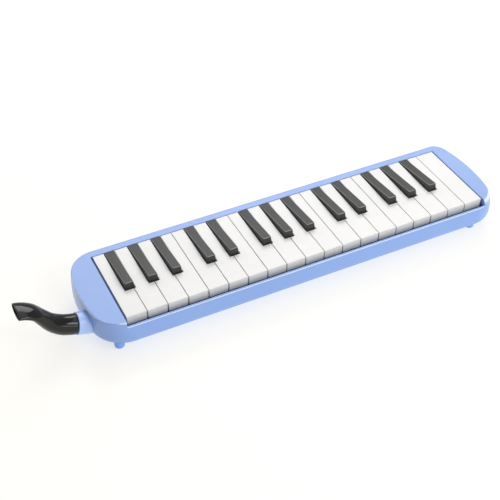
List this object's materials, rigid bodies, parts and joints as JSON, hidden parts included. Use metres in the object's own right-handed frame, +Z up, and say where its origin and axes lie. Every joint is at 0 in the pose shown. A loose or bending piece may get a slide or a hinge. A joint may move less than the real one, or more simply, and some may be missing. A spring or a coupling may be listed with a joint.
{
  "type": "melodica",
  "caption": "Melodica: a shallow rounded case with a piano-style row of sprung keys over a sealed reed chamber, blown through a curved mouthpiece at the left end.",
  "frame": {"origin": "on the surface the feet stand on, under the middle of the whole instrument, mouthpiece included", "axes": "+X along the keyboard from the low notes and the mouthpiece to the high notes, +Y from the key fronts to the rear rail, +Z up"},
  "size_m": [0.4824, 0.1036, 0.0598],
  "materials": {
    "case_plastic": "satin moulded ABS, pale periwinkle blue",
    "foot_plastic": "satin moulded plastic, blue",
    "socket_plastic": "satin moulded plastic, pale blue",
    "white_key_plastic": "satin white",
    "black_key_plastic": "satin charcoal",
    "mouthpiece_plastic": "glossy black",
    "chamber_plastic": "plain moulded grey-white",
    "seal_rubber": "matt",
    "screw_steel": "zinc plated",
    "rod_steel": "drawn",
    "reed_plate_metal": "rolled",
    "reed_brass": "filed",
    "spring_bronze": "rolled spring bronze",
    "stop_felt": "pressed felt"
  },
  "bodies": {
    "case": {"top_case": "case_plastic", "bottom_case": "case_plastic", "feet": "foot_plastic", "inlet_socket": "socket_plastic", "socket_seal": "seal_rubber", "reed_chamber": "chamber_plastic", "chamber_gasket": "seal_rubber", "chamber_cover": "chamber_plastic", "cover_screws": "screw_steel", "reed_plate_low": "reed_plate_metal", "reed_plate_high": "reed_plate_metal", "reeds_low": "reed_brass", "reeds_high": "reed_brass", "reed_rivets": "reed_brass", "reed_plate_screws": "screw_steel", "key_pivot_rod": "rod_steel", "key_spring_comb": "spring_bronze", "key_stop_felt": "stop_felt", "drain_spring": "screw_steel", "case_screws": "screw_steel", "chamber_screws": "screw_steel"},
    "mouthpiece": {"mouthpiece": "mouthpiece_plastic"},
    "drain_button": {"drain_button": "socket_plastic", "drain_seal": "seal_rubber"},
    "white_key_01": {"white_key_01": "white_key_plastic"},
    "white_key_02": {"white_key_02": "white_key_plastic"},
    "white_key_03": {"white_key_03": "white_key_plastic"},
    "white_key_04": {"white_key_04": "white_key_plastic"},
    "white_key_05": {"white_key_05": "white_key_plastic"},
    "white_key_06": {"white_key_06": "white_key_plastic"},
    "white_key_07": {"white_key_07": "white_key_plastic"},
    "white_key_08": {"white_key_08": "white_key_plastic"},
    "white_key_09": {"white_key_09": "white_key_plastic"},
    "white_key_10": {"white_key_10": "white_key_plastic"},
    "white_key_11": {"white_key_11": "white_key_plastic"},
    "white_key_12": {"white_key_12": "white_key_plastic"},
    "white_key_13": {"white_key_13": "white_key_plastic"},
    "white_key_14": {"white_key_14": "white_key_plastic"},
    "white_key_15": {"white_key_15": "white_key_plastic"},
    "white_key_16": {"white_key_16": "white_key_plastic"},
    "white_key_17": {"white_key_17": "white_key_plastic"},
    "white_key_18": {"white_key_18": "white_key_plastic"},
    "white_key_19": {"white_key_19": "white_key_plastic"},
    "black_key_01": {"black_key_01": "black_key_plastic"},
    "black_key_02": {"black_key_02": "black_key_plastic"},
    "black_key_03": {"black_key_03": "black_key_plastic"},
    "black_key_04": {"black_key_04": "black_key_plastic"},
    "black_key_05": {"black_key_05": "black_key_plastic"},
    "black_key_06": {"black_key_06": "black_key_plastic"},
    "black_key_07": {"black_key_07": "black_key_plastic"},
    "black_key_08": {"black_key_08": "black_key_plastic"},
    "black_key_09": {"black_key_09": "black_key_plastic"},
    "black_key_10": {"black_key_10": "black_key_plastic"},
    "black_key_11": {"black_key_11": "black_key_plastic"},
    "black_key_12": {"black_key_12": "black_key_plastic"},
    "black_key_13": {"black_key_13": "black_key_plastic"}
  },
  "joints": [
    {"name": "mouthpiece_pull", "type": "slide", "parent": "case", "child": "mouthpiece", "axis": [-0.9681, 0, 0.2504], "range_m": [0, 0.03]},
    {"name": "drain_press", "type": "slide", "parent": "case", "child": "drain_button", "axis": [-1, 0, 0], "range_m": [0, 0.0022], "stiffness_N_per_m": 400, "springref_m": -0.004, "deforming": ["drain_spring"]},
    {"name": "white_key_01_press", "type": "hinge", "parent": "case", "child": "white_key_01", "pos_m": [0, 0.022, 0.0205], "axis": [1, 0, 0], "range_deg": [0, 3.9], "stiffness_Nm_per_rad": 0.08, "springref_deg": -17.19, "deforming": ["key_spring_comb"]},
    {"name": "white_key_02_press", "type": "hinge", "parent": "case", "child": "white_key_02", "pos_m": [0, 0.022, 0.0205], "axis": [1, 0, 0], "range_deg": [0, 3.9], "stiffness_Nm_per_rad": 0.08, "springref_deg": -17.19, "deforming": ["key_spring_comb"]},
    {"name": "white_key_03_press", "type": "hinge", "parent": "case", "child": "white_key_03", "pos_m": [0, 0.022, 0.0205], "axis": [1, 0, 0], "range_deg": [0, 3.9], "stiffness_Nm_per_rad": 0.08, "springref_deg": -17.19, "deforming": ["key_spring_comb"]},
    {"name": "white_key_04_press", "type": "hinge", "parent": "case", "child": "white_key_04", "pos_m": [0, 0.022, 0.0205], "axis": [1, 0, 0], "range_deg": [0, 3.9], "stiffness_Nm_per_rad": 0.08, "springref_deg": -17.19, "deforming": ["key_spring_comb"]},
    {"name": "white_key_05_press", "type": "hinge", "parent": "case", "child": "white_key_05", "pos_m": [0, 0.022, 0.0205], "axis": [1, 0, 0], "range_deg": [0, 3.9], "stiffness_Nm_per_rad": 0.08, "springref_deg": -17.19, "deforming": ["key_spring_comb"]},
    {"name": "white_key_06_press", "type": "hinge", "parent": "case", "child": "white_key_06", "pos_m": [0, 0.022, 0.0205], "axis": [1, 0, 0], "range_deg": [0, 3.9], "stiffness_Nm_per_rad": 0.08, "springref_deg": -17.19, "deforming": ["key_spring_comb"]},
    {"name": "white_key_07_press", "type": "hinge", "parent": "case", "child": "white_key_07", "pos_m": [0, 0.022, 0.0205], "axis": [1, 0, 0], "range_deg": [0, 3.9], "stiffness_Nm_per_rad": 0.08, "springref_deg": -17.19, "deforming": ["key_spring_comb"]},
    {"name": "white_key_08_press", "type": "hinge", "parent": "case", "child": "white_key_08", "pos_m": [0, 0.022, 0.0205], "axis": [1, 0, 0], "range_deg": [0, 3.9], "stiffness_Nm_per_rad": 0.08, "springref_deg": -17.19, "deforming": ["key_spring_comb"]},
    {"name": "white_key_09_press", "type": "hinge", "parent": "case", "child": "white_key_09", "pos_m": [0, 0.022, 0.0205], "axis": [1, 0, 0], "range_deg": [0, 3.9], "stiffness_Nm_per_rad": 0.08, "springref_deg": -17.19, "deforming": ["key_spring_comb"]},
    {"name": "white_key_10_press", "type": "hinge", "parent": "case", "child": "white_key_10", "pos_m": [0, 0.022, 0.0205], "axis": [1, 0, 0], "range_deg": [0, 3.9], "stiffness_Nm_per_rad": 0.08, "springref_deg": -17.19, "deforming": ["key_spring_comb"]},
    {"name": "white_key_11_press", "type": "hinge", "parent": "case", "child": "white_key_11", "pos_m": [0, 0.022, 0.0205], "axis": [1, 0, 0], "range_deg": [0, 3.9], "stiffness_Nm_per_rad": 0.08, "springref_deg": -17.19, "deforming": ["key_spring_comb"]},
    {"name": "white_key_12_press", "type": "hinge", "parent": "case", "child": "white_key_12", "pos_m": [0, 0.022, 0.0205], "axis": [1, 0, 0], "range_deg": [0, 3.9], "stiffness_Nm_per_rad": 0.08, "springref_deg": -17.19, "deforming": ["key_spring_comb"]},
    {"name": "white_key_13_press", "type": "hinge", "parent": "case", "child": "white_key_13", "pos_m": [0, 0.022, 0.0205], "axis": [1, 0, 0], "range_deg": [0, 3.9], "stiffness_Nm_per_rad": 0.08, "springref_deg": -17.19, "deforming": ["key_spring_comb"]},
    {"name": "white_key_14_press", "type": "hinge", "parent": "case", "child": "white_key_14", "pos_m": [0, 0.022, 0.0205], "axis": [1, 0, 0], "range_deg": [0, 3.9], "stiffness_Nm_per_rad": 0.08, "springref_deg": -17.19, "deforming": ["key_spring_comb"]},
    {"name": "white_key_15_press", "type": "hinge", "parent": "case", "child": "white_key_15", "pos_m": [0, 0.022, 0.0205], "axis": [1, 0, 0], "range_deg": [0, 3.9], "stiffness_Nm_per_rad": 0.08, "springref_deg": -17.19, "deforming": ["key_spring_comb"]},
    {"name": "white_key_16_press", "type": "hinge", "parent": "case", "child": "white_key_16", "pos_m": [0, 0.022, 0.0205], "axis": [1, 0, 0], "range_deg": [0, 3.9], "stiffness_Nm_per_rad": 0.08, "springref_deg": -17.19, "deforming": ["key_spring_comb"]},
    {"name": "white_key_17_press", "type": "hinge", "parent": "case", "child": "white_key_17", "pos_m": [0, 0.022, 0.0205], "axis": [1, 0, 0], "range_deg": [0, 3.9], "stiffness_Nm_per_rad": 0.08, "springref_deg": -17.19, "deforming": ["key_spring_comb"]},
    {"name": "white_key_18_press", "type": "hinge", "parent": "case", "child": "white_key_18", "pos_m": [0, 0.022, 0.0205], "axis": [1, 0, 0], "range_deg": [0, 3.9], "stiffness_Nm_per_rad": 0.08, "springref_deg": -17.19, "deforming": ["key_spring_comb"]},
    {"name": "white_key_19_press", "type": "hinge", "parent": "case", "child": "white_key_19", "pos_m": [0, 0.022, 0.0205], "axis": [1, 0, 0], "range_deg": [0, 3.9], "stiffness_Nm_per_rad": 0.08, "springref_deg": -17.19, "deforming": ["key_spring_comb"]},
    {"name": "black_key_01_press", "type": "hinge", "parent": "case", "child": "black_key_01", "pos_m": [0, 0.022, 0.0205], "axis": [1, 0, 0], "range_deg": [0, 3.9], "stiffness_Nm_per_rad": 0.08, "springref_deg": -17.19, "deforming": ["key_spring_comb"]},
    {"name": "black_key_02_press", "type": "hinge", "parent": "case", "child": "black_key_02", "pos_m": [0, 0.022, 0.0205], "axis": [1, 0, 0], "range_deg": [0, 3.9], "stiffness_Nm_per_rad": 0.08, "springref_deg": -17.19, "deforming": ["key_spring_comb"]},
    {"name": "black_key_03_press", "type": "hinge", "parent": "case", "child": "black_key_03", "pos_m": [0, 0.022, 0.0205], "axis": [1, 0, 0], "range_deg": [0, 3.9], "stiffness_Nm_per_rad": 0.08, "springref_deg": -17.19, "deforming": ["key_spring_comb"]},
    {"name": "black_key_04_press", "type": "hinge", "parent": "case", "child": "black_key_04", "pos_m": [0, 0.022, 0.0205], "axis": [1, 0, 0], "range_deg": [0, 3.9], "stiffness_Nm_per_rad": 0.08, "springref_deg": -17.19, "deforming": ["key_spring_comb"]},
    {"name": "black_key_05_press", "type": "hinge", "parent": "case", "child": "black_key_05", "pos_m": [0, 0.022, 0.0205], "axis": [1, 0, 0], "range_deg": [0, 3.9], "stiffness_Nm_per_rad": 0.08, "springref_deg": -17.19, "deforming": ["key_spring_comb"]},
    {"name": "black_key_06_press", "type": "hinge", "parent": "case", "child": "black_key_06", "pos_m": [0, 0.022, 0.0205], "axis": [1, 0, 0], "range_deg": [0, 3.9], "stiffness_Nm_per_rad": 0.08, "springref_deg": -17.19, "deforming": ["key_spring_comb"]},
    {"name": "black_key_07_press", "type": "hinge", "parent": "case", "child": "black_key_07", "pos_m": [0, 0.022, 0.0205], "axis": [1, 0, 0], "range_deg": [0, 3.9], "stiffness_Nm_per_rad": 0.08, "springref_deg": -17.19, "deforming": ["key_spring_comb"]},
    {"name": "black_key_08_press", "type": "hinge", "parent": "case", "child": "black_key_08", "pos_m": [0, 0.022, 0.0205], "axis": [1, 0, 0], "range_deg": [0, 3.9], "stiffness_Nm_per_rad": 0.08, "springref_deg": -17.19, "deforming": ["key_spring_comb"]},
    {"name": "black_key_09_press", "type": "hinge", "parent": "case", "child": "black_key_09", "pos_m": [0, 0.022, 0.0205], "axis": [1, 0, 0], "range_deg": [0, 3.9], "stiffness_Nm_per_rad": 0.08, "springref_deg": -17.19, "deforming": ["key_spring_comb"]},
    {"name": "black_key_10_press", "type": "hinge", "parent": "case", "child": "black_key_10", "pos_m": [0, 0.022, 0.0205], "axis": [1, 0, 0], "range_deg": [0, 3.9], "stiffness_Nm_per_rad": 0.08, "springref_deg": -17.19, "deforming": ["key_spring_comb"]},
    {"name": "black_key_11_press", "type": "hinge", "parent": "case", "child": "black_key_11", "pos_m": [0, 0.022, 0.0205], "axis": [1, 0, 0], "range_deg": [0, 3.9], "stiffness_Nm_per_rad": 0.08, "springref_deg": -17.19, "deforming": ["key_spring_comb"]},
    {"name": "black_key_12_press", "type": "hinge", "parent": "case", "child": "black_key_12", "pos_m": [0, 0.022, 0.0205], "axis": [1, 0, 0], "range_deg": [0, 3.9], "stiffness_Nm_per_rad": 0.08, "springref_deg": -17.19, "deforming": ["key_spring_comb"]},
    {"name": "black_key_13_press", "type": "hinge", "parent": "case", "child": "black_key_13", "pos_m": [0, 0.022, 0.0205], "axis": [1, 0, 0], "range_deg": [0, 3.9], "stiffness_Nm_per_rad": 0.08, "springref_deg": -17.19, "deforming": ["key_spring_comb"]}
  ]
}
